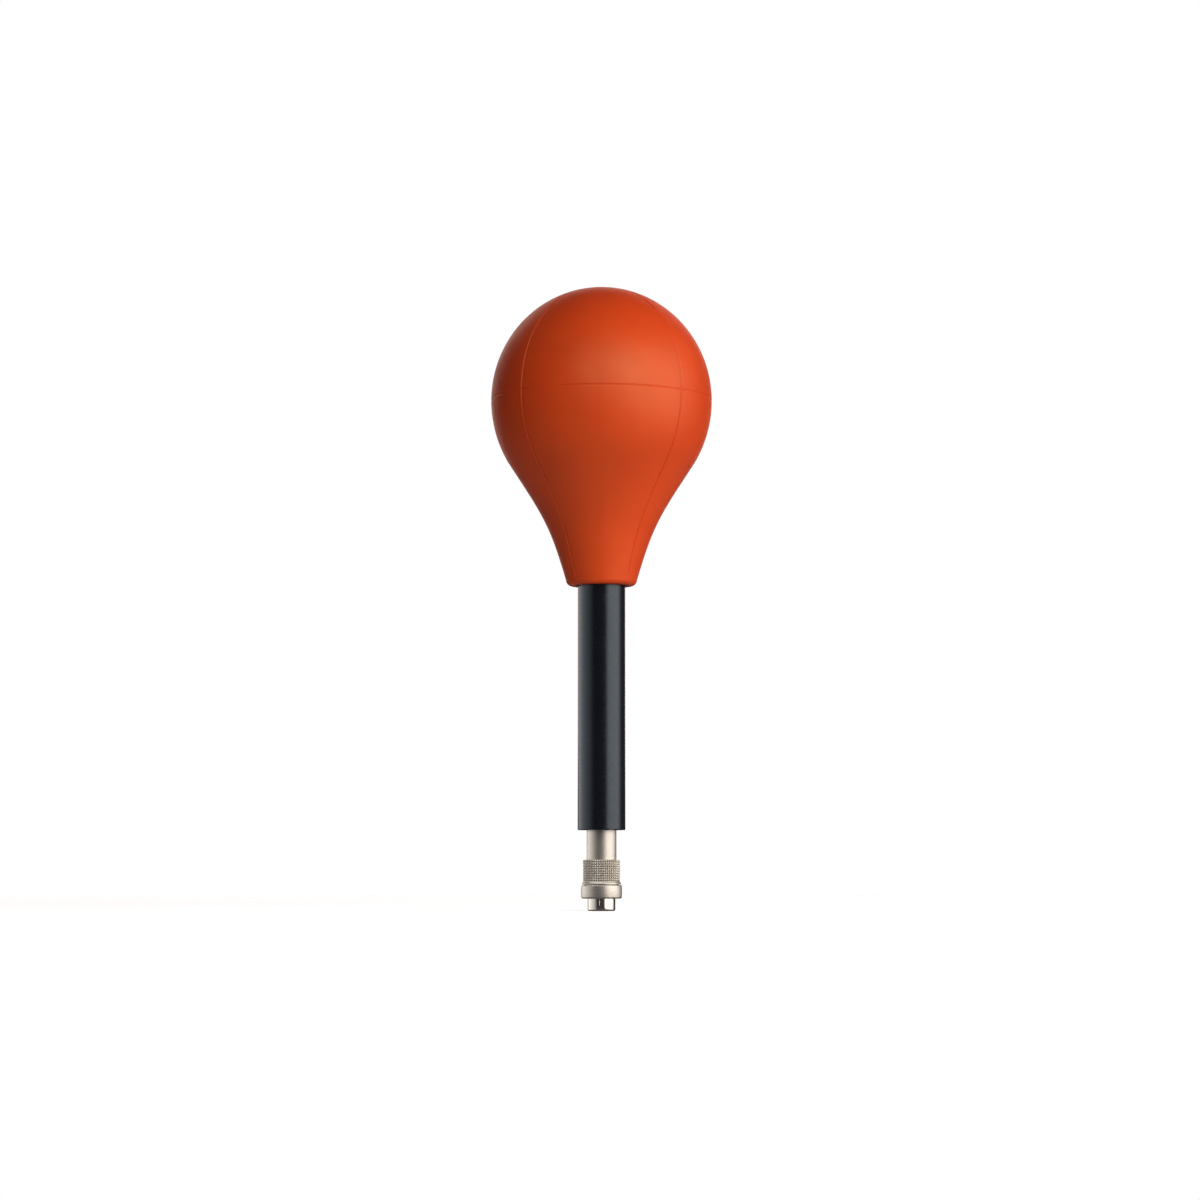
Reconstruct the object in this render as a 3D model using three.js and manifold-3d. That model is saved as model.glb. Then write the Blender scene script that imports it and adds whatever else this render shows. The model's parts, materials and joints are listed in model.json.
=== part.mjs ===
// A dust blower for watchmaking: a rubber squeeze bulb on a tubular handle, with a knurled union nut that
// holds the blowing tip. Millimetres, +Z up. The blower stands on its tip: the origin is the centre of the
// tip's end face, the axis of every turned piece is Z, and the front of the bulb faces -Y.
//
// Squeezing the side walls drives air past the outlet ball, down the air pipe and out of the tip. When the
// bulb springs back the ball closes and fresh air comes up the handle, between the tube and the air pipe,
// through the intake filter and under the intake flap.
import * as THREE from "three";
import { mergeVertices } from "three/addons/utils/BufferGeometryUtils.js";
import Module from "manifold-3d";

const wasm = await Module();
wasm.setup();

// ---- Driving dimensions -------------------------------------------------------------------------------

const SEAM_GAP = 0.3; // between the walls of the bulb, along each seam
const FIT = 0.1; // radial clearance of pieces that slide, turn or screw on each other
const REST_GAP = 0.15; // axial gap between faces that rest on each other

const bulb = {
  radius: 28, // at the equator
  equator: 128.9, // height of the widest ring, where the dome meets the funnel
  domeHeight: 28.85,
  wall: 3,
  shoulderHeight: 29.4, // the funnel starts as an ellipse of this height
  shoulderEnd: 0.6028, // angle below the equator where the ellipse ends, in radians
  flareHandles: [15.2, 14.4], // how far the flare keeps the direction of its upper and lower ends
  neckRadius: 9, // where the flare meets the lip
  neckSlope: 0.285, // of the flare at the lip, from the axis, in radians
  lipTop: 83.2,
  lipBottom: 81.7,
  lipRound: 1.5,
  neckTop: 96, // the neck grips the handle below this height
};

const tube = { radius: 6, bore: 5, bottom: 20.2, top: bulb.neckTop - REST_GAP, edge: 0.25 };

const valve = {
  flangeRadius: 8,
  flange: 1.7,
  bottom: 79,
  chamber: 2.5, // radius of the ball's chamber
  chamberTop: 91.2,
  throat: 1.3, // radius of the passage that the ball closes
  seatHeight: 1.4, // of the cone that the ball seats in
  ball: 1.95,
  bossRadius: 1.85,
  bossHeight: 2.9,
  ports: 6,
  portRadius: 0.55,
  portCircle: 3.75,
};

const flap = { radius: 5.2, thickness: 0.8, lift: 0.9 };
const flapStop = { radius: 4.6, thickness: 0.8 };
const pipe = { radius: 2.4, bore: 1.8, bottom: 30, top: 82 };
const spring = { turns: 6, wire: 0.2, radius: 1.5 };

const stem = { radius: 3.75, top: 34, bottom: 5.45, grooveDepth: 0.35, edge: 0.3 };

const bush = { bottom: 21.2, top: 27.2, slots: 6, slotWidth: 1.5, slotDepth: 0.55 };
const circlip = { thickness: 0.6, radius: 4.6, opening: 0.7 };
const filter = { bottom: 28.6, top: 33.6 };

const tip = {
  radius: 3.46,
  orifice: 1.25,
  headRadius: 3.73,
  headBottom: 4.05,
  top: 5,
  round: 0.45,
  keyWidth: 0.95,
  keyBottom: 1.45,
  keyDepth: 0.15,
};

const seal = { ring: 2.65, section: 0.33 };

const ring = { radius: 5.15, bottom: 3.1, top: 6.5, floor: 0.9, rim: 0.7, bottomRound: 0.5, topRound: 0.35 };

const nut = {
  bottom: 6.65,
  top: 12.8,
  flareRadius: 5.05,
  knurlBottom: 7.5,
  knurlRadius: 4.7,
  knurlDepth: 0.22,
  knurlColumns: 28,
  knurlRows: 5,
  spigotRadius: 4.3,
  lipRadius: 4.55, // of the lip that the ring is rolled over
  lipHeight: 0.4,
  spigotBottom: 5.25,
};

const SEGMENTS = 40; // round what shows
const INNER_SEGMENTS = 24; // round what is inside
const PORT_SEGMENTS = 10;
const FLARE_POINTS = 60; // of which every ninth is kept

// ---- Materials ----------------------------------------------------------------------------------------

const rubber = new THREE.MeshStandardMaterial({ color: 0xd1451b, roughness: 0.6, metalness: 0 });
const darkRubber = new THREE.MeshStandardMaterial({ color: 0x232326, roughness: 0.7, metalness: 0 });
const anodised = new THREE.MeshStandardMaterial({ color: 0x15151d, roughness: 0.4, metalness: 0.6 });
const plastic = new THREE.MeshStandardMaterial({ color: 0x2a2a2c, roughness: 0.55, metalness: 0 });
const nickel = new THREE.MeshStandardMaterial({ color: 0xcfc4b6, roughness: 0.3, metalness: 1 });
const steel = new THREE.MeshStandardMaterial({ color: 0xb9bcc0, roughness: 0.25, metalness: 1 });
const foam = new THREE.MeshStandardMaterial({ color: 0xd8d6cf, roughness: 0.95, metalness: 0 });

// ---- Shape helpers ------------------------------------------------------------------------------------

const point = (r, z) => new THREE.Vector2(r, z);

// A solid turned about Z. The outline runs up the outside and down the inside, and closes on itself unless it
// starts and ends on the axis.
function turned(outline, segments = SEGMENTS) {
  const onAxis = outline[0].x === 0 && outline.at(-1).x === 0;
  const points = onAxis ? outline : [...outline, outline[0]];
  return new THREE.LatheGeometry(points, segments).rotateX(Math.PI / 2);
}

// A plain ring or disc between two heights.
function washer(inner, outer, bottom, top, segments = INNER_SEGMENTS) {
  return turned([point(inner, bottom), point(outer, bottom), point(outer, top), point(inner, top)], segments);
}

// Points of a quarter round of radius r about (cx, cz), from angle a to angle b in quarter turns.
function round(cx, cz, r, a, b, steps = 3) {
  return Array.from({ length: steps + 1 }, (_, i) => {
    const t = ((a + ((b - a) * i) / steps) * Math.PI) / 2;
    return point(cx + r * Math.cos(t), cz + r * Math.sin(t));
  });
}

function solidOf(geometry) {
  const bare = geometry.clone();
  bare.deleteAttribute("normal");
  bare.deleteAttribute("uv");
  const merged = mergeVertices(bare, 1e-4);
  return new wasm.Manifold(
    new wasm.Mesh({
      numProp: 3,
      vertProperties: merged.attributes.position.array,
      triVerts: new Uint32Array(merged.index.array),
    }),
  );
}

function geometryOf(solid) {
  const mesh = solid.getMesh();
  return new THREE.BufferGeometry()
    .setAttribute("position", new THREE.BufferAttribute(mesh.vertProperties, 3))
    .setIndex(new THREE.BufferAttribute(mesh.triVerts, 1));
}

function cut(geometry, ...tools) {
  return geometryOf(tools.reduce((solid, tool) => solid.subtract(solidOf(tool)), solidOf(geometry)));
}

function common(a, b) {
  return geometryOf(solidOf(a).intersect(solidOf(b)));
}

function prism(outline, bottom, top) {
  const depth = top - bottom;
  const solid = new THREE.ExtrudeGeometry(new THREE.Shape(outline), { depth, bevelEnabled: false });
  return solid.translate(0, 0, bottom);
}

// Copies of a geometry, evenly spaced round Z.
function around(count, geometry) {
  return Array.from({ length: count }, (_, i) => geometry.clone().rotateZ((i * 2 * Math.PI) / count));
}

function add(group, name, geometry, material) {
  const mesh = new THREE.Mesh(geometry, material);
  mesh.name = name;
  group.add(mesh);
  return mesh;
}

// ---- Bulb ---------------------------------------------------------------------------------------------

// The outside of the bulb from its lip to its crown. Heights are measured from the equator.
function bulbOutside() {
  const { radius, shoulderHeight, shoulderEnd, domeHeight, flareHandles, neckRadius, neckSlope } = bulb;
  const ellipse = (height, angle) => point(radius * Math.cos(angle), height * Math.sin(angle));
  const shoulder = ellipse(shoulderHeight, -shoulderEnd);
  const down = point(-radius * Math.sin(shoulderEnd), -shoulderHeight * Math.cos(shoulderEnd)).normalize();
  const lip = point(neckRadius, bulb.lipTop - bulb.equator);
  const flare = new THREE.CubicBezierCurve(
    lip,
    lip.clone().add(point(Math.sin(neckSlope), Math.cos(neckSlope)).multiplyScalar(flareHandles[1])),
    shoulder.clone().addScaledVector(down, flareHandles[0]),
    shoulder,
  );
  const below = Array.from({ length: 3 }, (_, i) => ellipse(shoulderHeight, (-shoulderEnd * (2 - i)) / 3));
  const above = Array.from({ length: 6 }, (_, i) => ellipse(domeHeight, ((i + 1) * Math.PI) / 14));
  return { flare, upper: [...below, ...above, point(0, domeHeight)] };
}

// The same outline moved inwards by the wall, so it runs from the neck's top to the crown of the air space.
function inwards(outline, distance) {
  return outline.map((p, i) => {
    if (p.x === 0) return point(0, p.y - distance);
    const before = outline[Math.max(i - 1, 0)];
    const after = outline[Math.min(i + 1, outline.length - 1)];
    const along = after.clone().sub(before).normalize();
    return point(p.x - along.y * distance, p.y + along.x * distance);
  });
}

// The sector that holds one wall: a quarter turn about +X, short of the seams on its sides.
function wallSector(bottom, top) {
  const reach = 2 * bulb.radius;
  const apex = SEAM_GAP / Math.SQRT2;
  return prism([point(apex, 0), point(reach, apex - reach), point(reach, reach - apex)], bottom, top);
}

function makeBulb() {
  const group = new THREE.Group();
  group.position.z = bulb.equator;
  const { flare, upper } = bulbOutside();
  const neckTop = bulb.neckTop - bulb.equator;

  // The flare leaves the neck's top at the share of the curve that reaches this height.
  const flarePoints = flare.getPoints(FLARE_POINTS);
  const split = flarePoints.findIndex((p) => p.y > neckTop);
  const neckSide = flarePoints.slice(0, split).filter((_, i) => i % 9 === 0);
  const funnelSide = flarePoints.slice(split).filter((_, i) => i % 9 === 0);

  const outside = [...funnelSide, ...upper];
  const inside = inwards(outside, bulb.wall);
  inside.unshift(point(inside[0].x, outside[0].y - 2));
  const shell = turned([...inside.reverse(), point(outside[0].x, outside[0].y - 2), ...outside]);

  const dome = common(shell, wallSector(SEAM_GAP / 2, bulb.domeHeight + 1));
  const funnel = common(shell, wallSector(neckTop + SEAM_GAP, -SEAM_GAP / 2));
  ["right", "back", "left", "front"].forEach((side, i) => {
    add(group, `bulb_dome_${side}`, dome, rubber).rotation.z = (i * Math.PI) / 2;
    add(group, `bulb_funnel_${side}`, funnel, rubber).rotation.z = (i * Math.PI) / 2;
  });

  const lipBottom = bulb.lipBottom - bulb.equator;
  const bore = tube.radius + FIT;
  const neck = turned([
    point(bore, lipBottom),
    ...round(bulb.neckRadius - bulb.lipRound, lipBottom + bulb.lipRound, bulb.lipRound, -1, 0),
    ...neckSide.slice(1),
    point(outside[0].x, neckTop),
    point(bore, neckTop),
  ]);
  add(group, "bulb_neck", neck, rubber);
  return group;
}

// ---- Handle and valves --------------------------------------------------------------------------------

function handleTube() {
  const { radius, bore, bottom, top, edge } = tube;
  return turned([
    point(bore, bottom),
    point(radius - edge, bottom),
    point(radius, bottom + edge),
    point(radius, top),
    point(bore, top),
  ]);
}

// The plug in the top of the tube: its flange holds the neck down, its ports let air in, its cone seats
// the ball.
function valveBody() {
  const { flangeRadius, bottom, chamber, chamberTop, throat, seatHeight, bossRadius, bossHeight } = valve;
  const flangeBottom = bulb.neckTop + REST_GAP;
  const flangeTop = flangeBottom + valve.flange;
  const body = turned(
    [
      point(chamber, bottom),
      point(tube.bore - FIT, bottom),
      point(tube.bore - FIT, flangeBottom),
      point(flangeRadius, flangeBottom),
      point(flangeRadius, flangeTop),
      point(bossRadius, flangeTop),
      point(bossRadius, flangeTop + bossHeight),
      point(throat, flangeTop + bossHeight),
      point(throat, chamberTop + seatHeight),
      point(chamber, chamberTop),
    ],
    INNER_SEGMENTS,
  );
  const portLength = 2 * (flangeTop - bottom + 1);
  const port = new THREE.CylinderGeometry(valve.portRadius, valve.portRadius, portLength, PORT_SEGMENTS);
  port.rotateX(Math.PI / 2);
  port.translate(valve.portCircle, 0, flangeBottom);
  return cut(body, ...around(valve.ports, port));
}

// The coil under the ball, standing on the air pipe.
class Helix extends THREE.Curve {
  getPoint(t) {
    const turn = 2 * Math.PI * spring.turns * t;
    return new THREE.Vector3(spring.radius * Math.cos(turn), spring.radius * Math.sin(turn), this.height * t);
  }
}

function outletSpring(bottom, top) {
  const coil = new Helix();
  coil.height = top - bottom - 2 * spring.wire;
  const section = new THREE.Shape(round(0, 0, spring.wire, 0, 4, 6).slice(0, 6));
  const wire = new THREE.ExtrudeGeometry(section, { steps: spring.turns * 10, extrudePath: coil });
  return wire.translate(0, 0, bottom + spring.wire);
}

function makeHandle() {
  const group = new THREE.Group();
  add(group, "handle_tube", handleTube(), anodised);
  add(group, "valve_body", valveBody(), plastic);
  add(group, "air_pipe", washer(pipe.bore, pipe.radius, pipe.bottom, pipe.top), steel);

  const flangeTop = bulb.neckTop + REST_GAP + valve.flange;
  const flapBottom = flangeTop + REST_GAP;
  const stopBottom = flapBottom + flap.thickness + flap.lift + REST_GAP;
  const onBoss = valve.bossRadius + FIT;
  add(group, "intake_flap", washer(onBoss, flap.radius, flapBottom, flapBottom + flap.thickness), darkRubber);
  const stopTop = stopBottom + flapStop.thickness;
  add(group, "flap_stop", washer(onBoss, flapStop.radius, stopBottom, stopTop), plastic);

  // The ball rests in the cone: its centre is one radius, and a little play, from the cone's wall.
  const slope = Math.atan2(valve.chamber - valve.throat, valve.seatHeight);
  const apex = valve.chamberTop + valve.chamber / Math.tan(slope);
  const ballCentre = apex - (valve.ball + FIT) / Math.sin(slope);
  add(group, "outlet_ball", new THREE.SphereGeometry(valve.ball, 20, 14), steel).position.z = ballCentre;
  const springTop = ballCentre - valve.ball * Math.cos(Math.asin(spring.radius / valve.ball)) - FIT;
  add(group, "outlet_spring", outletSpring(pipe.top + REST_GAP, springTop), steel);

  const slot = new THREE.BoxGeometry(2 * bush.slotDepth, bush.slotWidth, 4 * (bush.top - bush.bottom));
  slot.translate(tube.bore - FIT, 0, bush.bottom);
  const bushRing = washer(stem.radius + FIT, tube.bore - FIT, bush.bottom, bush.top, SEGMENTS);
  add(group, "stem_bush", cut(bushRing, ...around(bush.slots, slot)), plastic);
  add(group, "intake_filter", washer(stem.radius + FIT, tube.bore - FIT, filter.bottom, filter.top), foam);
  return group;
}

// ---- Nozzle -------------------------------------------------------------------------------------------

const circlipBottom = bush.top + REST_GAP;

function nozzleStem() {
  const { radius, top, bottom, grooveDepth, edge } = stem;
  const groove = [circlipBottom - FIT, circlipBottom + circlip.thickness + FIT];
  return turned([
    point(pipe.bore, bottom),
    point(radius - edge, bottom),
    point(radius, bottom + edge),
    point(radius, groove[0]),
    point(radius - grooveDepth, groove[0]),
    point(radius - grooveDepth, groove[1]),
    point(radius, groove[1]),
    point(radius, top),
    point(pipe.radius + FIT, top),
    point(pipe.radius + FIT, pipe.bottom - REST_GAP),
    point(pipe.bore, pipe.bottom - REST_GAP),
  ]);
}

// An open ring that snaps into the stem's groove and keeps the stem from dropping out of its bush.
function stemCirclip() {
  const inner = stem.radius - stem.grooveDepth + FIT;
  const shape = new THREE.Shape();
  shape.absarc(0, 0, circlip.radius, circlip.opening, -circlip.opening, false);
  shape.absarc(0, 0, inner, -circlip.opening, circlip.opening, true);
  const options = { depth: circlip.thickness, bevelEnabled: false, curveSegments: 12 };
  return new THREE.ExtrudeGeometry(shape, options).translate(0, 0, circlipBottom);
}

function blowingTip() {
  const { radius, orifice, headRadius, headBottom, top, round: corner } = tip;
  const play = seal.section + FIT / 2;
  const groove = { inner: seal.ring - play, outer: seal.ring + play, floor: top - seal.section };
  const body = turned([
    point(orifice, 0),
    ...round(radius - corner, corner, corner, -1, 0),
    point(radius, headBottom),
    point(headRadius, headBottom),
    point(headRadius, top),
    point(groove.outer, top),
    point(groove.outer, groove.floor),
    point(groove.inner, groove.floor),
    point(groove.inner, top),
    point(pipe.bore, top),
    point(pipe.bore, top / 2 + 1),
    point(orifice, top / 2),
  ]);
  const key = new THREE.BoxGeometry(2 * tip.keyDepth, tip.keyWidth, headBottom - tip.keyBottom);
  key.translate(radius, 0, (headBottom + tip.keyBottom) / 2);
  return cut(body, key.rotateZ(-Math.PI / 2)); // to the front
}

// The smooth ring that holds the tip up by its head. It is rolled over the lip of the nut, which turns in
// it.
function retainingRing() {
  const { radius, bottom, top, floor, rim, bottomRound, topRound } = ring;
  return turned([
    point(tip.radius + FIT, bottom),
    ...round(radius - bottomRound, bottom + bottomRound, bottomRound, -1, 0, 3),
    ...round(radius - topRound, top - topRound, topRound, 0, 1, 3),
    point(nut.spigotRadius + FIT, top),
    point(nut.spigotRadius + FIT, top - rim),
    point(nut.lipRadius + FIT, top - rim),
    point(nut.lipRadius + FIT, bottom + floor),
    point(tip.radius + FIT, bottom + floor),
  ]);
}

// The knurl is a square one: rows of points, with valleys between the rows and between the columns.
function knurledNut() {
  const { bottom, top, flareRadius, knurlBottom, knurlRadius, knurlDepth, knurlColumns, knurlRows } = nut;
  const root = knurlRadius - knurlDepth;
  const pitch = (top - knurlBottom) / knurlRows;
  const rows = Array.from({ length: knurlRows }, (_, i) => [
    point(knurlRadius, knurlBottom + (i + 0.5) * pitch),
    point(root, knurlBottom + (i + 1) * pitch),
  ]).flat();
  const outline = [
    point(stem.radius + FIT, nut.spigotBottom),
    point(nut.lipRadius, nut.spigotBottom),
    point(nut.lipRadius, nut.spigotBottom + nut.lipHeight),
    point(nut.spigotRadius, nut.spigotBottom + nut.lipHeight),
    point(nut.spigotRadius, bottom),
    point(flareRadius, bottom),
    point(root, knurlBottom),
    ...rows,
    point(stem.radius + FIT, top),
  ];
  const columns = 2 * knurlColumns;
  const geometry = new THREE.LatheGeometry([...outline, outline[0]], columns);
  const vertices = geometry.attributes.position;
  const perColumn = outline.length + 1;
  for (let i = 0; i < vertices.count; i++) {
    const x = vertices.getX(i);
    const z = vertices.getZ(i);
    const inValley = Math.floor(i / perColumn) % 2 === 1;
    if (inValley && Math.hypot(x, z) > root && vertices.getY(i) > knurlBottom) {
      const shrink = root / Math.hypot(x, z);
      vertices.setXYZ(i, x * shrink, vertices.getY(i), z * shrink);
    }
  }
  return geometry.rotateX(Math.PI / 2);
}

function makeNozzle() {
  const group = new THREE.Group();
  add(group, "nozzle_stem", nozzleStem(), nickel);
  add(group, "stem_circlip", stemCirclip(), steel);
  add(group, "blowing_tip", blowingTip(), nickel);
  const sealRing = new THREE.TorusGeometry(seal.ring, seal.section, 8, INNER_SEGMENTS);
  add(group, "tip_seal", sealRing, darkRubber).position.z = tip.top + FIT / 2;
  add(group, "retaining_ring", retainingRing(), nickel);
  add(group, "knurled_nut", knurledNut(), nickel);
  return group;
}

const blower = new THREE.Group();
blower.add(makeBulb(), makeHandle(), makeNozzle());

export default blower;
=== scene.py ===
"""A dust blower for watchmaking: an orange rubber bulb on a black handle, with a bright knurled nozzle.

The CAD frame gives every place and the main sizes. This script builds the visible pieces round it in fine
mesh: the bulb with its seam grooves, the handle, and the turned and knurled parts of the nozzle. Outlines
are in millimetres, in the frame's own axes: +Z up along the axis of the blower, -Y the front.
"""

import json
import math

import bpy
import numpy as np
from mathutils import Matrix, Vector

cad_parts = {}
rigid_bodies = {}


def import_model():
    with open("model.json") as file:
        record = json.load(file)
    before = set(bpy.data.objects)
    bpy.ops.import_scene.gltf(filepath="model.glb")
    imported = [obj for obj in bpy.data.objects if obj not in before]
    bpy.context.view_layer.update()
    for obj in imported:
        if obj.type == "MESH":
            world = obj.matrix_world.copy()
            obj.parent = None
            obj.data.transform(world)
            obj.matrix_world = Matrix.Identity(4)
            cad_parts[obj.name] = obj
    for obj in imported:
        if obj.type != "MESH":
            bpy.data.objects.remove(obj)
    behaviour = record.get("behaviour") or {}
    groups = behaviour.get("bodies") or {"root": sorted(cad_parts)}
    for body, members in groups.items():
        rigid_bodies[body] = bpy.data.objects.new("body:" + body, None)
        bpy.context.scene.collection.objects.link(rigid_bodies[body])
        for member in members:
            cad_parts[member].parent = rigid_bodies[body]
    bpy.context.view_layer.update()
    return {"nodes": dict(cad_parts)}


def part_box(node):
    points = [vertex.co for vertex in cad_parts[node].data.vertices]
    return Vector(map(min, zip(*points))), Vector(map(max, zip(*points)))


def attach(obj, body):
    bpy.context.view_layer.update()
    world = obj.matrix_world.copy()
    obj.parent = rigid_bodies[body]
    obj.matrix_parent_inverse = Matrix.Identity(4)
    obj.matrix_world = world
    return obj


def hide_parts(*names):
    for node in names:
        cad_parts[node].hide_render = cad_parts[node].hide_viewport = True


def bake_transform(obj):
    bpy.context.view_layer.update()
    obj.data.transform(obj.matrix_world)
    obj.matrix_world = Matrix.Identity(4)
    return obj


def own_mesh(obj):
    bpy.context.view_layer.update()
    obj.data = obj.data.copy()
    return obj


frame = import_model()

MM = 0.001
TAU = 2 * math.pi


def span(node):
    """Lowest height, highest height and outer radius of a CAD node, in millimetres."""
    low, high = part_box(node)
    return low.z / MM, high.z / MM, high.x / MM


# ---- Sizes that the frame doesn't say ------------------------------------------------------------

# Bulb: a dome on a funnel that flares out of a rounded lip.
BULB_RADIUS = 28.0
EQUATOR = 128.88
DOME_HEIGHT = 28.87
WALL = 3.0
SHOULDER_HEIGHT = 29.4  # of the ellipse that the funnel starts as
SHOULDER_END = 0.6028  # radians below the equator, where the flare takes over
FLARE_HANDLES = (15.2, 14.4)  # how far the flare keeps the direction of its upper and lower ends
NECK_RADIUS = 9.0
NECK_SLOPE = 0.285
LIP_TOP = 83.2
LIP_ROUND = 1.5
TUBE_GAP = 0.04  # between the rubber neck and the handle
COLLAR_ROUND = 0.35  # of the bore's lower edge

# Seam grooves.
SEAM_DEPTH = 0.3  # of the upright seams
EQUATOR_SEAM_DEPTH = 0.14
SEAM_HALF_WIDTH = 0.3
SEAM_END = 84.2  # the upright seams fade out here, above the lip
SEAM_FADE = 0.7
SEAM_GRID = (0.0, 0.1, 0.2, 0.3, 0.42, 0.8, 1.6)  # distances from a seam of the mesh lines beside it
CROWN_NUB = (0.55, 0.16)  # radius and height of the moulding mark
SEAM_NARROWS = 12.0  # seams are finer where a quarter of the way round the bulb is shorter than this
INSIDE_RADIUS = 20.0  # for the mesh lines of the inside, which has no seams

# Handle and nozzle.
CLEARANCE = 0.1  # between pieces that turn or slide on each other
TUBE_BORE = 5.0
STEM_BORE = 1.8
STEM_SOCKET = (2.5, 29.85)  # radius and lowest height of the socket for the air pipe
CIRCLIP_GROOVE = (3.4, 27.25, 28.05)  # radius at its bottom, lowest and highest height
NUT_SPIGOT = (4.3, 6.65)  # radius and top
NUT_LIP = (4.55, 5.65)  # radius and top of the lip at the spigot's end, which turns in the ring
NUT_FLARE = 5.05  # largest radius of the cone under the knurl
NUT_TOP = (0.35, 0.25)  # chamfers at the top, outside and in the bore
# The points of the knurl are cut flat at a share of their height.
KNURL = {"bottom": 7.5, "radius": 4.7, "depth": 0.2, "pitch": 0.587, "columns": 50, "flat": 0.72}
RING_CAVITY = (4.0, 5.8)  # heights between which the ring is hollow
RING_BARREL = 0.08  # how far the ring's side stands out at its middle
TIP_RADIUS = 3.46
TIP_HEAD = 4.05  # lowest height of the wider head, inside the ring
TIP_ORIFICE = 1.25
SEAL_GROOVE = (2.25, 3.05, 0.33)  # inner radius, outer radius and depth, in the tip's top
KEY = {"width": 0.95, "depth": 0.04, "bottom": 1.45}  # a slot in the tip's front that runs up under the ring
SEGMENTS = {"tube": 192, "stem": 144, "ring": 160, "tip": 512}  # round each turned piece


# ---- Materials -----------------------------------------------------------------------------------


class Paint:
    """A procedural material on object coordinates. Noise scales are in lumps per metre."""

    def __init__(self, name, **sockets):
        self.material = bpy.data.materials.new(name)
        self.material.use_nodes = True
        self.tree = self.material.node_tree
        self.shader = self.tree.nodes["Principled BSDF"]
        self.place = self.node("ShaderNodeTexCoord").outputs["Object"]
        for socket, value in sockets.items():
            self.shader.inputs[socket.replace("_", " ")].default_value = value

    def node(self, kind, **settings):
        made = self.tree.nodes.new(kind)
        for key, value in settings.items():
            setattr(made, key, value)
        return made

    def link(self, source, target):
        self.tree.links.new(source, target)

    def noise(self, scale, detail=3, stretch=(1, 1, 1)):
        mapping = self.node("ShaderNodeMapping")
        mapping.inputs["Scale"].default_value = stretch
        self.link(self.place, mapping.inputs["Vector"])
        noise = self.node("ShaderNodeTexNoise")
        noise.inputs["Scale"].default_value = scale
        noise.inputs["Detail"].default_value = detail
        self.link(mapping.outputs["Vector"], noise.inputs["Vector"])
        return noise.outputs["Fac"]

    def between(self, value, low, high, from_low=0.3, from_high=0.7):
        """A value spread from one range to another, and held at the ends."""
        spread = self.node("ShaderNodeMapRange")
        spread.inputs["From Min"].default_value = from_low
        spread.inputs["From Max"].default_value = from_high
        spread.inputs["To Min"].default_value = low
        spread.inputs["To Max"].default_value = high
        self.link(value, spread.inputs["Value"])
        return spread.outputs["Result"]

    def blend(self, value, first, second):
        mix = self.node("ShaderNodeMix", data_type="RGBA")
        mix.inputs["A"].default_value = (*first, 1)
        mix.inputs["B"].default_value = (*second, 1)
        self.link(value, mix.inputs["Factor"])
        return mix.outputs["Result"]

    def colour(self, value, first, second):
        self.link(self.blend(value, first, second), self.shader.inputs["Base Color"])

    def roughness(self, value, low, high):
        self.link(self.between(value, low, high), self.shader.inputs["Roughness"])

    def bump(self, heights, distance, strength=1.0):
        """A chain of bumps, one for each height and its share of the distance."""
        normal = None
        for height, share in heights:
            bump = self.node("ShaderNodeBump")
            bump.inputs["Strength"].default_value = strength
            bump.inputs["Distance"].default_value = distance * share
            self.link(height, bump.inputs["Height"])
            if normal:
                self.link(normal, bump.inputs["Normal"])
            normal = bump.outputs["Normal"]
        self.link(normal, self.shader.inputs["Normal"])


def bulb_rubber():
    paint = Paint("bulb_rubber", IOR=1.5, Specular_Tint=(0.85, 0.95, 0.5, 1))
    broad = paint.noise(55, 2)
    grain = paint.noise(2600, 2)
    paint.colour(paint.between(broad, 0, 1), (0.65, 0.050, 0.0054), (0.72, 0.059, 0.0069))
    paint.roughness(paint.noise(240, 4), 0.42, 0.5)
    paint.bump([(broad, 0.5), (grain, 0.035)], 0.0002, 0.6)
    return paint.material


def anodised():
    paint = Paint("anodised_tube", IOR=1.6, Specular_Tint=(0.8, 0.92, 1.0, 1))
    turning = paint.noise(900, 2, (0.15, 0.15, 6))
    cloud = paint.noise(160, 3)
    paint.colour(paint.between(cloud, 0, 1), (0.0050, 0.0045, 0.0105), (0.0075, 0.0070, 0.0145))
    paint.roughness(paint.noise(700, 3), 0.25, 0.31)
    paint.bump([(turning, 1.0)], 0.000004, 0.5)
    return paint.material


def turned_metal(name, low, high, lines=0.5):
    """Nickel plate over turned brass: fine lines round the part, and a roughness between low and high."""
    paint = Paint(name, Metallic=1.0)
    turning = paint.noise(1400, 3, (0.08, 0.08, 8))
    cloud = paint.noise(700, 2)
    paint.colour(paint.between(cloud, 0, 1), (0.69, 0.63, 0.56), (0.725, 0.655, 0.57))
    paint.roughness(paint.noise(4000, 2), low, high)
    paint.bump([(turning, 1.0)], 0.000003, lines)
    return paint.material


def steel():
    paint = Paint("bright_steel", Metallic=1.0)
    cloud = paint.noise(500, 3)
    paint.colour(paint.between(cloud, 0, 1), (0.50, 0.50, 0.51), (0.60, 0.60, 0.61))
    paint.roughness(cloud, 0.18, 0.3)
    return paint.material


def black_plastic():
    paint = Paint("black_plastic", IOR=1.48)
    grain = paint.noise(1800, 3)
    paint.colour(paint.between(paint.noise(300, 2), 0, 1), (0.012, 0.012, 0.013), (0.022, 0.022, 0.024))
    paint.roughness(grain, 0.42, 0.58)
    paint.bump([(grain, 1.0)], 0.00001, 0.5)
    return paint.material


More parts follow.
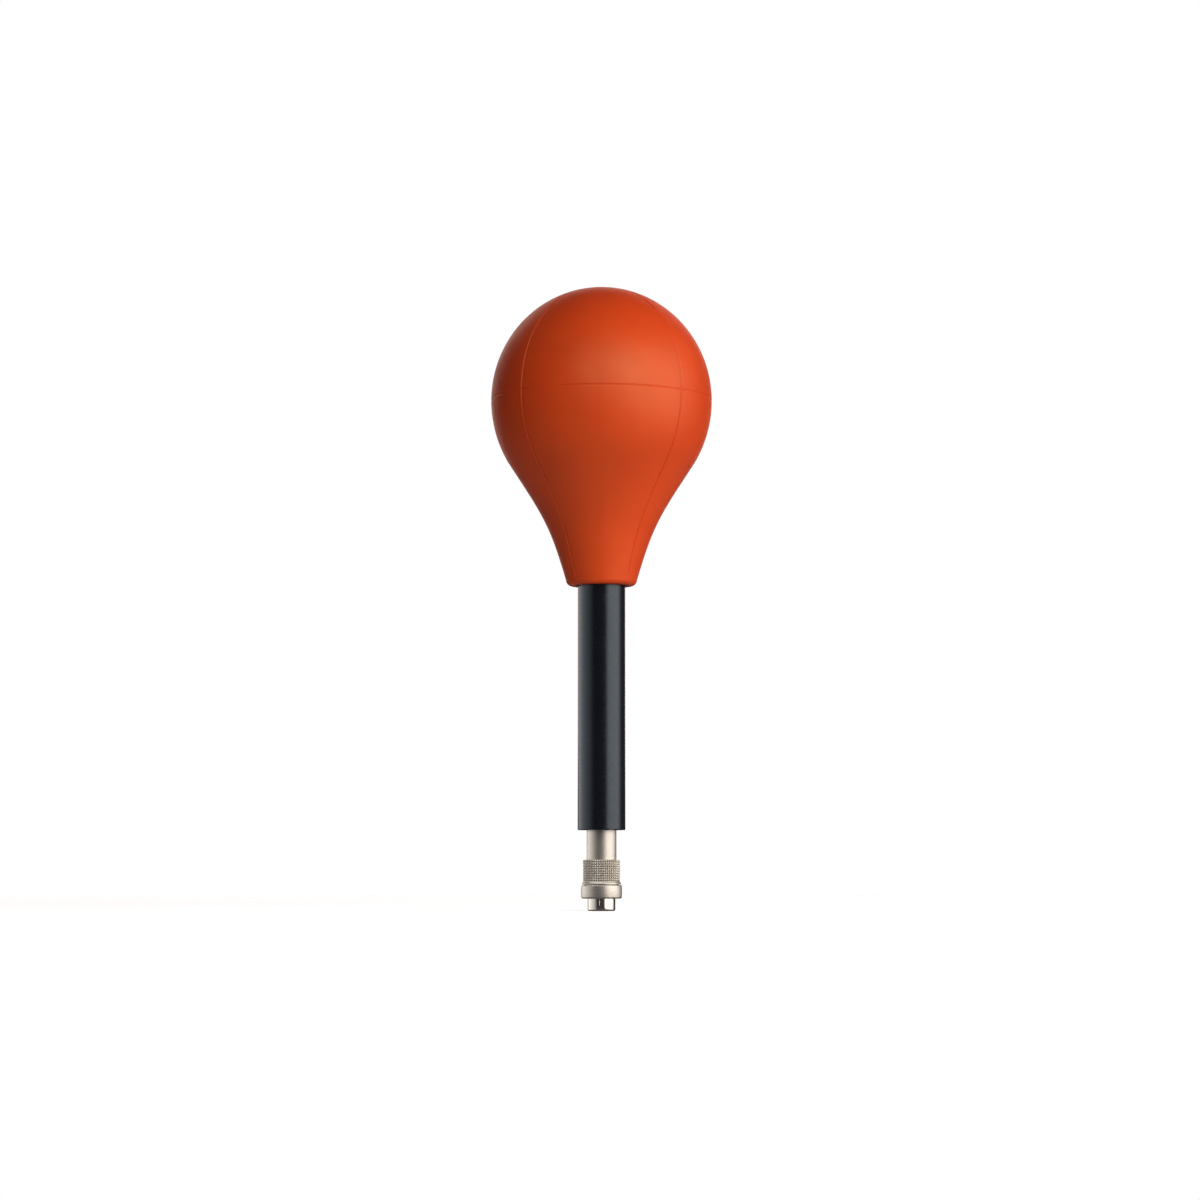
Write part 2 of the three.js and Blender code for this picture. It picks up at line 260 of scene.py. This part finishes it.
def valve_rubber():
    paint = Paint("valve_rubber", Sheen_Weight=0.1)
    grain = paint.noise(1500, 3)
    paint.colour(paint.between(paint.noise(400, 2), 0, 1), (0.010, 0.010, 0.011), (0.020, 0.020, 0.021))
    paint.roughness(grain, 0.6, 0.75)
    paint.bump([(grain, 1.0)], 0.00001, 0.6)
    return paint.material


def filter_foam():
    paint = Paint("filter_foam", Sheen_Weight=0.2)
    cells = paint.node("ShaderNodeTexVoronoi")
    cells.inputs["Scale"].default_value = 1600
    paint.link(paint.place, cells.inputs["Vector"])
    depth = cells.outputs["Distance"]
    paint.colour(paint.between(depth, 0, 1, 0.0, 0.5), (0.72, 0.70, 0.63), (0.35, 0.33, 0.29))
    paint.roughness(depth, 0.85, 0.98)
    paint.bump([(depth, 1.0)], 0.00008, 1.0)
    return paint.material


# ---- Mesh helpers --------------------------------------------------------------------------------


def mesh_piece(name, vertices, faces, material, sharp=32):
    """A smooth-shaded object from millimetre vertices, with edges kept sharp above an angle."""
    mesh = bpy.data.meshes.new(name)
    mesh.from_pydata([tuple(v) for v in np.asarray(vertices) * MM], [], faces)
    mesh.polygons.foreach_set("use_smooth", [True] * len(mesh.polygons))
    mesh.set_sharp_from_angle(angle=math.radians(sharp))
    mesh.materials.append(material)
    piece = bpy.data.objects.new(name, mesh)
    bpy.context.scene.collection.objects.link(piece)
    return piece


def arc(centre, radius, start, end, steps):
    """Points round a centre, from one angle to another in quarter turns."""
    angles = np.linspace(start, end, steps + 1) * math.pi / 2
    return [(centre[0] + radius * math.cos(a), centre[1] + radius * math.sin(a)) for a in angles]


def rounded(corners, steps=5):
    """A closed outline with each corner (r, z, round) replaced by an arc of that radius."""
    outline = []
    for i, (r, z, size) in enumerate(corners):
        here = np.array((r, z))
        if not size:
            outline.append((r, z))
            continue
        back = np.array(corners[i - 1][:2]) - here
        ahead = np.array(corners[(i + 1) % len(corners)][:2]) - here
        back, ahead = back / np.linalg.norm(back), ahead / np.linalg.norm(ahead)
        half = math.acos(np.clip(back @ ahead, -1, 1)) / 2
        middle = (back + ahead) / np.linalg.norm(back + ahead)
        centre = here + middle * size / math.sin(half)
        first = here + back * size / math.tan(half) - centre
        last = here + ahead * size / math.tan(half) - centre
        turn = math.atan2(first[0] * last[1] - first[1] * last[0], first @ last)
        for t in np.linspace(0, turn, steps + 1):
            c, s = math.cos(t), math.sin(t)
            outline.append(tuple(centre + (first[0] * c - first[1] * s, first[0] * s + first[1] * c)))
    return outline


def shade_by_area(piece):
    """Normals that follow the large faces, so that a flat side stays flat beside a rounded edge."""
    shading = piece.modifiers.new("weighted", "WEIGHTED_NORMAL")
    shading.keep_sharp = True


def lathe(name, outline, material, segments=128, relief=None, sharp=32):
    """A ring turned about Z from a closed outline that runs up the outside.

    relief(r, z, angle) gives each point a new radius.
    """
    relief = relief or (lambda r, z, angle: r)
    vertices = []
    for k in range(segments):
        angle = TAU * k / segments
        for r, z in outline:
            cut = relief(r, z, angle)
            vertices.append((cut * math.cos(angle), cut * math.sin(angle), z))
    count = len(outline)
    faces = []
    for k in range(segments):
        here, beside = k * count, (k + 1) % segments * count
        for j in range(count):
            above = (j + 1) % count
            faces.append((here + j, beside + j, beside + above, here + above))
    piece = mesh_piece(name, vertices, faces, material, sharp)
    shade_by_area(piece)
    return piece


# ---- Bulb ----------------------------------------------------------------------------------------


def bulb_outside(lip_bottom):
    """The outside of the bulb as a dense line from the lip's underside to the crown."""
    ends = np.linspace(-SHOULDER_END, 0, 40)
    shoulder = [(BULB_RADIUS * math.cos(t), EQUATOR + SHOULDER_HEIGHT * math.sin(t)) for t in ends]
    rise = np.linspace(0, math.pi / 2, 160)[1:]
    dome = [(BULB_RADIUS * math.cos(t), EQUATOR + DOME_HEIGHT * math.sin(t)) for t in rise]
    down = np.array((-BULB_RADIUS * math.sin(SHOULDER_END), -SHOULDER_HEIGHT * math.cos(SHOULDER_END)))
    down = down / np.linalg.norm(down)
    top, low = np.array(shoulder[0]), np.array((NECK_RADIUS, LIP_TOP))
    up = np.array((math.sin(NECK_SLOPE), math.cos(NECK_SLOPE)))
    upper, lower = top + down * FLARE_HANDLES[0], low + up * FLARE_HANDLES[1]
    t = np.linspace(0, 1, 90)[:-1, None]
    flare = low * (1 - t) ** 3 + 3 * lower * t * (1 - t) ** 2 + 3 * upper * t**2 * (1 - t) + top * t**3
    lip = arc((NECK_RADIUS - LIP_ROUND - 0.02, lip_bottom + LIP_ROUND), LIP_ROUND, -1, -0.18, 14)
    return np.array([*lip, *flare, *shoulder, *dome])


def resample(line, places):
    """Points of a line at given distances along it."""
    steps = np.r_[0, np.cumsum(np.linalg.norm(np.diff(line, axis=0), axis=1))]
    return np.column_stack([np.interp(places, steps, line[:, i]) for i in range(2)])


def beside_seams(seams, length, spacing):
    """Distances for mesh lines along a stretch: close together beside each seam, and even elsewhere."""
    near = sorted({round(s + sign * d, 6) for s in seams for d in SEAM_GRID for sign in (-1, 1)})
    near = [d for d in near if 0 <= d <= length]
    places = [0.0, *near, length]
    filled = []
    for a, b in zip(places, places[1:]):
        if b - a > 1e-6:
            filled.extend(np.linspace(a, b, max(1, round((b - a) / spacing)) + 1)[:-1])
    return np.array([*filled, length])


def groove(distance, half_width, depth):
    """Depth of a seam's groove at a distance from its middle: a V with softened lips."""
    t = np.clip(1 - np.abs(distance) / np.maximum(half_width, 1e-6), 0, 1)
    return depth * t * (0.6 + 0.4 * t)


def bulb_grid(lip_bottom, bore, neck_top):
    """Outlines of the bulb: from the lip up the outside to the crown, and down the inside to the lip."""
    line = bulb_outside(lip_bottom)
    lengths = np.r_[0, np.cumsum(np.linalg.norm(np.diff(line, axis=0), axis=1))]
    equator_at = lengths[np.argmax(line[:, 0])]
    lip_length = LIP_ROUND * 1.6
    low = np.linspace(0, lip_length, 14)[:-1]
    rest = beside_seams([equator_at - lip_length], lengths[-1] - lip_length, 1.0) + lip_length
    outside = resample(line, np.r_[low, rest])

    inner = line[line[:, 1] > neck_top + 1.2]
    along = np.gradient(inner, axis=0)
    along = along / np.linalg.norm(along, axis=1)[:, None]
    inner = inner + np.column_stack([-along[:, 1], along[:, 0]]) * WALL
    inner[-1] = (0, line[-1][1] - WALL)
    inner = inner[inner[:, 0] >= 0]
    inside = resample(inner[::-1], np.linspace(0, np.linalg.norm(np.diff(inner, axis=0), axis=1).sum(), 46))
    collar = [(inside[-1][0], neck_top, 0), (bore, neck_top, 0.4), (bore, lip_bottom, COLLAR_ROUND)]
    edge = [(bore, lip_bottom + COLLAR_ROUND), (bore + COLLAR_ROUND, lip_bottom)]
    return outside, np.array([*inside, *rounded(collar, 4)[1:-1], *edge])


def quarter_angles(radius):
    """Angles of the mesh lines between two seams, and the share of a full seam at this radius."""
    length = max(radius * math.pi / 2, 1e-9)
    full = min(1.0, length / SEAM_NARROWS)
    near = np.array(SEAM_GRID) * full
    middle = np.linspace(near[-1], length - near[-1], 26)[1:-1]
    places = np.r_[near, middle, (length - near[::-1])[:-1]]
    return places / length * math.pi / 2, full


def bulb_surface(outside, inside):
    """Angle, radius, height and groove depth: a row for each outline point, a column for each mesh line."""
    rows = []
    for i, (r, z) in enumerate([*outside, *inside]):
        angles, full = quarter_angles(r if i < len(outside) else INSIDE_RADIUS)
        round_bulb = np.concatenate([angles + q * math.pi / 2 for q in range(4)]) - math.pi / 4
        depth = np.zeros_like(round_bulb)
        if i < len(outside):
            from_seam = np.abs((round_bulb + math.pi / 2) % (math.pi / 2) - math.pi / 4) * r
            fade = np.clip((z - SEAM_END) / SEAM_FADE + 1, 0, 1)
            upright = groove(from_seam, SEAM_HALF_WIDTH * full, SEAM_DEPTH) * fade * full
            level = groove(np.full_like(depth, z - EQUATOR), SEAM_HALF_WIDTH, EQUATOR_SEAM_DEPTH)
            depth = np.maximum(upright, level)
        rows.append(np.column_stack([round_bulb, np.full_like(depth, r), np.full_like(depth, z), depth]))
    return np.array(rows)


def grid_normals(points):
    """Vertex normals of a grid that closes on itself round the axis."""
    along = np.gradient(points, axis=0)
    around = np.roll(points, -1, axis=1) - np.roll(points, 1, axis=1)
    normals = np.cross(around, along)
    size = np.linalg.norm(normals, axis=2, keepdims=True)
    return normals / np.maximum(size, 1e-12)


def make_bulb(material):
    """The bulb in two halves that meet on the plane x = 0.
    """
    neck_low, neck_high, _ = span("bulb_neck")
    bore = span("handle_tube")[2] + TUBE_GAP
    outside, inside = bulb_grid(neck_low, bore, neck_high)
    grid = bulb_surface(outside, inside)
    outward = np.gradient(np.array(outside), axis=0)
    outward = np.column_stack([outward[:, 1], -outward[:, 0]])
    outward = outward / np.linalg.norm(outward, axis=1)[:, None]
    radius, height = grid[:, :, 1].copy(), grid[:, :, 2].copy()
    count = len(outside)
    nub = CROWN_NUB[1] * np.clip(1 - (radius[:count] / CROWN_NUB[0]) ** 2, 0, 1)
    radius[:count] -= grid[:count, :, 3] * outward[:, 0:1]
    height[:count] += nub - grid[:count, :, 3] * outward[:, 1:2]
    points = np.stack([radius * np.cos(grid[:, :, 0]), radius * np.sin(grid[:, :, 0]), height], axis=2)
    normals = grid_normals(points)
    poles = (count - 1, count)
    normals[poles[0]], normals[poles[1]] = (0, 0, 1), (0, 0, -1)

    columns = points.shape[1]
    front = int(np.argmin(np.abs(grid[0, :, 0] - 1.5 * math.pi)))
    back = int(np.argmin(np.abs(grid[0, :, 0] - 0.5 * math.pi)))
    points[:, front, 0] = points[:, back, 0] = 0
    # The right half takes the place of the front walls and the neck as well, and the left half of the back.
    for side, start, outwards in (("right", front, 1), ("left", back, -1)):
        order = [(start + k) % columns for k in range(columns // 2 + 1)]
        piece = half_shell(f"bulb_{side}_half", points[:, order], normals[:, order], poles, side, material)
        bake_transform(piece)
        other = ("front", "bulb_neck") if side == "right" else ("back", None)
        nodes = [f"bulb_{part}_{wall}" for part in ("dome", "funnel") for wall in (side, other[0])]
        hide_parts(*nodes, *([other[1]] if other[1] else []))


def half_shell(name, points, normals, poles, side, material):
    """One half of the bulb as a closed shell: its walls, and the flat faces against the other half."""
    rows, columns = points.shape[:2]
    index = np.arange(rows * columns).reshape(rows, columns)
    for pole in poles:
        index[pole] = index[pole][0]
    used, compact = np.unique(index, return_inverse=True)
    index = compact.reshape(rows, columns)
    flat_points, flat_normals = points.reshape(-1, 3)[used], normals.reshape(-1, 3)[used]
    faces = []
    for i in range(rows):
        above = (i + 1) % rows
        if i in poles and above in poles:
            continue
        for j in range(columns - 1):
            face = (index[i, j], index[i, j + 1], index[above, j + 1], index[above, j])
            faces.append(tuple(int(v) for v in dict.fromkeys(face)))
    walls = len(faces)
    faces.append(tuple(int(v) for v in index[:, 0]))
    faces.append(tuple(int(v) for v in index[::-1, -1]))
    piece = mesh_piece(name, flat_points, faces, material, sharp=180)
    flat = (-1.0 if side == "right" else 1.0, 0.0, 0.0)
    given = []
    for polygon in piece.data.polygons:
        for v in polygon.vertices:
            given.append(flat if polygon.index >= walls else tuple(flat_normals[v]))
    piece.data.normals_split_custom_set(given)
    return piece


# ---- Handle and nozzle ---------------------------------------------------------------------------


def ride(piece, body, node):
    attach(piece, body)
    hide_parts(node)
    return piece


def make_tube(material):
    low, high, radius = span("handle_tube")
    corners = [(TUBE_BORE, low, 0.15), (radius, low, 0.28), (radius, high, 0.15), (TUBE_BORE, high, 0.15)]
    tube = lathe("handle_tube_turned", rounded(corners), material, SEGMENTS["tube"])
    return ride(tube, "handle", "handle_tube")


def make_stem(material):
    low, high, radius = span("nozzle_stem")
    groove_radius, groove_low, groove_high = CIRCLIP_GROOVE
    socket_radius, socket_low = STEM_SOCKET
    corners = [
        (STEM_BORE, low, 0.1),
        (radius, low, 0.3),
        (radius, groove_low, 0.04),
        (groove_radius, groove_low, 0),
        (groove_radius, groove_high, 0),
        (radius, groove_high, 0.04),
        (radius, high, 0.2),
        (socket_radius, high, 0.1),
        (socket_radius, socket_low, 0),
        (STEM_BORE, socket_low, 0),
    ]
    stem = lathe("nozzle_stem_turned", rounded(corners), material, SEGMENTS["stem"])
    return ride(stem, "handle", "nozzle_stem")


def knurl_relief(r, z, angle):
    """Square knurling: rows of blunt points with V valleys between them, along the nut and round it."""
    if r < KNURL["radius"] - 1e-6 or z < KNURL["bottom"]:
        return r

    def ridge(turns):
        return 1 - abs(2 * (turns % 1) - 1)

    along = ridge((z - KNURL["bottom"]) / KNURL["pitch"])
    around = ridge(angle / TAU * KNURL["columns"])
    height = min(along, around, KNURL["flat"]) / KNURL["flat"]
    return r - KNURL["depth"] * (1 - height)


def make_nut(material):
    low, high, _ = span("knurled_nut")
    bore = span("nozzle_stem")[2] + CLEARANCE
    spigot, shoulder = NUT_SPIGOT
    lip, lip_top = NUT_LIP
    neck = KNURL["radius"] - KNURL["depth"] - 0.05
    flare_top = KNURL["bottom"] - 0.1
    plain = [
        (bore, low, 0),
        (lip, low, 0.1),
        (lip, lip_top, 0.08),
        (spigot, lip_top, 0),
        (spigot, shoulder, 0),
        (NUT_FLARE, shoulder, 0.12),
        (neck + 0.15, flare_top, 0.04),
        (neck, flare_top, 0),
    ]
    rows = np.arange(KNURL["bottom"], high + 1e-6, KNURL["pitch"] / 6)
    knurl = [(KNURL["radius"], z) for z in rows]
    outer, inner = NUT_TOP
    top = [(KNURL["radius"] - outer, high), (bore + inner, high), (bore, high - inner)]
    outline = [*rounded(plain, 3), (neck, KNURL["bottom"]), *knurl, *top]
    nut = lathe("knurled_nut_turned", outline, material, KNURL["columns"] * 6, knurl_relief, 30)
    return ride(nut, "nut", "knurled_nut")


def make_ring(material):
    low, high, radius = span("retaining_ring")
    edge = radius - RING_BARREL
    middle, half = (low + high) / 2, (high - low) / 2
    heights = np.linspace(-0.7, 0.78, 9) * half
    barrel = [(radius - RING_BARREL * (h / half) ** 2, middle + h, 0) for h in heights]
    cavity_low, cavity_high = RING_CAVITY
    floor_bore, collar_bore, cavity = (size + CLEARANCE for size in (TIP_RADIUS, NUT_SPIGOT[0], NUT_LIP[0]))
    corners = [
        (floor_bore, low, 0.12),
        (edge, low, 0.42),
        *barrel,
        (edge, high, 0.3),
        (collar_bore, high, 0.1),
        (collar_bore, cavity_high, 0),
        (cavity, cavity_high, 0),
        (cavity, cavity_low, 0),
        (floor_bore, cavity_low, 0.1),
    ]
    ring = lathe("retaining_ring_turned", rounded(corners, 6), material, SEGMENTS["ring"])
    return ride(ring, "ring", "retaining_ring")


def key_relief(r, z, angle):
    """The key slot in the front of the tip's side."""
    across = abs(angle - 0.75 * TAU) * r
    inside = across < KEY["width"] / 2 and z >= KEY["bottom"] and abs(r - TIP_RADIUS) < 0.001
    return r - KEY["depth"] if inside else r


def make_tip(material):
    low, high, head = span("blowing_tip")
    seal_inside, seal_outside, seal_depth = SEAL_GROOVE
    corners = [
        (TIP_ORIFICE, low, 0.22),
        (TIP_RADIUS, low, 0.42),
        (TIP_RADIUS, KEY["bottom"] - 0.05, 0),
        (TIP_RADIUS, KEY["bottom"], 0),
        (TIP_RADIUS, TIP_HEAD, 0),
        (head, TIP_HEAD, 0.1),
        (head, high, 0.1),
        (seal_outside, high, 0),
        (seal_outside, high - seal_depth, 0),
        (seal_inside, high - seal_depth, 0),
        (seal_inside, high, 0),
        (STEM_BORE, high, 0.1),
        (STEM_BORE, high / 2 + 1, 0),
        (TIP_ORIFICE, high / 2, 0),
    ]
    tip = lathe("blowing_tip_turned", rounded(corners, 6), material, SEGMENTS["tip"], key_relief)
    return ride(tip, "handle", "blowing_tip")


def make_spring(material):
    """The outlet spring as an evenly wound round wire."""
    low, high, outer = span("outlet_spring")
    wire, turns, sides, steps = 0.2, 6.0, 10, 240
    coil_radius = outer - wire
    vertices = []
    for i in range(steps + 1):
        t = i / steps
        angle = TAU * turns * t
        rise = low + wire + (high - low - 2 * wire) * t
        centre = np.array((coil_radius * math.cos(angle), coil_radius * math.sin(angle), rise))
        out = np.array((math.cos(angle), math.sin(angle), 0))
        for k in range(sides):
            a = TAU * k / sides
            vertices.append(centre + wire * (math.cos(a) * out + math.sin(a) * np.array((0, 0, 1))))
    faces = [tuple(range(sides)), tuple(range(steps * sides, (steps + 1) * sides))[::-1]]
    for i in range(steps):
        for k in range(sides):
            beside = (k + 1) % sides
            faces.append((i * sides + k, (i + 1) * sides + k, (i + 1) * sides + beside, i * sides + beside))
    spring = mesh_piece("outlet_spring_coil", vertices, [f[::-1] for f in faces], material, 60)
    ride(spring, "handle", "outlet_spring")
    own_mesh(spring)


def finish_inner_nodes():
    """The pieces inside keep their CAD shapes and take finished materials."""
    finishes = {
        black_plastic(): ("valve_body", "flap_stop", "stem_bush"),
        steel(): ("outlet_ball", "air_pipe", "stem_circlip"),
        valve_rubber(): ("intake_flap", "tip_seal"),
        filter_foam(): ("intake_filter",),
    }
    for material, nodes in finishes.items():
        for node in nodes:
            frame["nodes"][node].material_slots[0].material = material


# ---- Studio --------------------------------------------------------------------------------------

FLOOR_LIFT = 0.6  # extra brightness for the camera only, so that the floor meets the white background


def point_at(thing, target):
    thing.rotation_euler = (Vector(target) - thing.location).to_track_quat("-Z", "Y").to_euler()


def softbox(name, place, size, radiance, colour=(1, 1, 1), edges=(0.1, 0.1), lights=None):
    """A soft panel aimed at the blower.

    Its place is its azimuth from the camera's side to the right, its distance and its height. Each of its
    upright edges fades over a share of its width. It may light some objects only.
    """
    azimuth, distance, height = place
    light = bpy.data.lights.new(name, "AREA")
    light.shape, light.size, light.size_y = "RECTANGLE", *size
    light.energy = radiance * math.pi * size[0] * size[1]
    light.color = colour
    light.use_nodes = True
    tree = light.node_tree
    across = tree.nodes.new("ShaderNodeSeparateXYZ")
    tree.links.new(tree.nodes.new("ShaderNodeNewGeometry").outputs["Parametric"], across.inputs[0])
    fades = []
    for start, end in ((0, edges[0]), (1, 1 - edges[1])):
        fade = tree.nodes.new("ShaderNodeMapRange")
        fade.inputs["From Min"].default_value, fade.inputs["From Max"].default_value = start, end
        tree.links.new(across.outputs["X"], fade.inputs["Value"])
        fades.append(fade.outputs["Result"])
    strength = tree.nodes.new("ShaderNodeMath")
    strength.operation = "MULTIPLY"
    tree.links.new(fades[0], strength.inputs[0])
    tree.links.new(fades[1], strength.inputs[1])
    tree.links.new(strength.outputs[0], tree.nodes["Emission"].inputs["Strength"])
    panel = bpy.data.objects.new(name, light)
    bpy.context.scene.collection.objects.link(panel)
    angle = math.radians(azimuth)
    panel.location = (distance * math.sin(angle), -distance * math.cos(angle), height)
    point_at(panel, (0, 0, 0.09))
    panel.visible_camera = False
    if lights:
        lit = bpy.data.collections.new(f"{name}_lights")
        for thing in lights:
            lit.objects.link(thing)
        panel.light_linking.receiver_collection = lit


def mix_colours(tree, factor, first, second):
    mix = tree.nodes.new("ShaderNodeMix")
    mix.data_type = "RGBA"
    tree.links.new(factor, mix.inputs["Factor"])
    mix.inputs["B"].default_value = second
    if isinstance(first, tuple):
        mix.inputs["A"].default_value = first
    else:
        tree.links.new(first, mix.inputs["A"])
    return mix.outputs["Result"]


def studio_world():
    """White behind the object. The surfaces reflect a dim room, paler below, where the table would be."""
    world = bpy.data.worlds.new("studio")
    world.use_nodes = True
    tree = world.node_tree
    height = tree.nodes.new("ShaderNodeSeparateXYZ")
    tree.links.new(tree.nodes.new("ShaderNodeTexCoord").outputs["Generated"], height.inputs[0])
    below = tree.nodes.new("ShaderNodeMapRange")
    below.inputs["From Min"].default_value, below.inputs["From Max"].default_value = -0.04, -0.2
    tree.links.new(height.outputs["Z"], below.inputs["Value"])
    room = mix_colours(tree, below.outputs["Result"], (0.05, 0.05, 0.054, 1), (0.12, 0.12, 0.12, 1))
    seen = tree.nodes.new("ShaderNodeLightPath").outputs["Is Camera Ray"]
    backdrop = mix_colours(tree, seen, room, (1, 1, 1, 1))
    tree.links.new(backdrop, tree.nodes["Background"].inputs["Color"])
    bpy.context.scene.world = world


def make_floor(radius=0.5):
    """A pale round floor, in metres, that fades into the white background at its edge."""
    rings, segments = 24, 96
    vertices = [(0, 0, 0)]
    for i in range(1, rings + 1):
        for k in range(segments):
            a = TAU * k / segments
            vertices.append((radius * i / rings * math.cos(a), radius * i / rings * math.sin(a), 0))
    faces = [(0, 1 + k, 1 + (k + 1) % segments) for k in range(segments)]
    for i in range(rings - 1):
        for k in range(segments):
            a, b = 1 + i * segments + k, 1 + i * segments + (k + 1) % segments
            faces.append((a, a + segments, b + segments, b))
    paint = Paint("pale_floor", Roughness=0.9, Specular_IOR_Level=0.1, Emission_Color=(1, 1, 1, 1))
    paint.colour(paint.between(paint.noise(300, 3), 0, 1), (0.88, 0.88, 0.88), (0.91, 0.91, 0.91))
    distance = paint.node("ShaderNodeVectorMath", operation="LENGTH")
    paint.link(paint.place, distance.inputs[0])
    paint.link(paint.between(distance.outputs["Value"], 1, 0, 0.1, 0.4), paint.shader.inputs["Alpha"])
    seen = paint.node("ShaderNodeLightPath").outputs["Is Camera Ray"]
    paint.link(paint.between(seen, 0, FLOOR_LIFT, 0, 1), paint.shader.inputs["Emission Strength"])
    floor = mesh_piece("floor", np.array(vertices) / MM, faces, paint.material)
    floor.visible_glossy = False


def make_camera():
    camera = bpy.data.objects.new("camera", bpy.data.cameras.new("camera"))
    bpy.context.scene.collection.objects.link(camera)
    camera.data.lens, camera.data.sensor_width = 92.5, 36
    camera.location = (-0.00038, -0.776, 0.01246)
    camera.rotation_euler = (math.radians(90 + 4.84), 0, 0)
    bpy.context.scene.camera = camera


make_camera()
studio_world()
make_floor()

nickel = turned_metal("satin_nickel", 0.43, 0.49)
make_bulb(bulb_rubber())
nozzle = [
    make_stem(nickel),
    make_nut(nickel),
    make_ring(nickel),
    make_tip(turned_metal("polished_nickel", 0.11, 0.15, 0.2)),
]
handle_and_nozzle = [make_tube(anodised()), *nozzle]
make_spring(steel())
finish_inner_nodes()

the_rest = [thing for thing in bpy.context.scene.objects if thing not in handle_and_nozzle]

softbox("key", (64, 0.8, 0.28), (1.5, 0.8), 2.3, (1, 0.97, 0.94), (0.16, 0.3))
softbox("front", (14, 0.9, 0.56), (1.4, 0.6), 2.3, lights=the_rest)
softbox("back", (-174, 0.9, 0.4), (1.1, 0.7), 1.45, (1, 0.7, 0.62))
softbox("left_card", (-93, 0.8, 0.06), (2.1, 0.5), 1.45, (0.98, 0.99, 1), (0.1, 0.7), handle_and_nozzle)
softbox("right_card", (106, 0.8, 0.06), (0.45, 0.4), 1.1, lights=nozzle)
softbox("top", (-40, 0.35, 0.8), (1.3, 0.8), 1.3, lights=nozzle)
bpy.context.scene.view_settings.view_transform = "Standard"
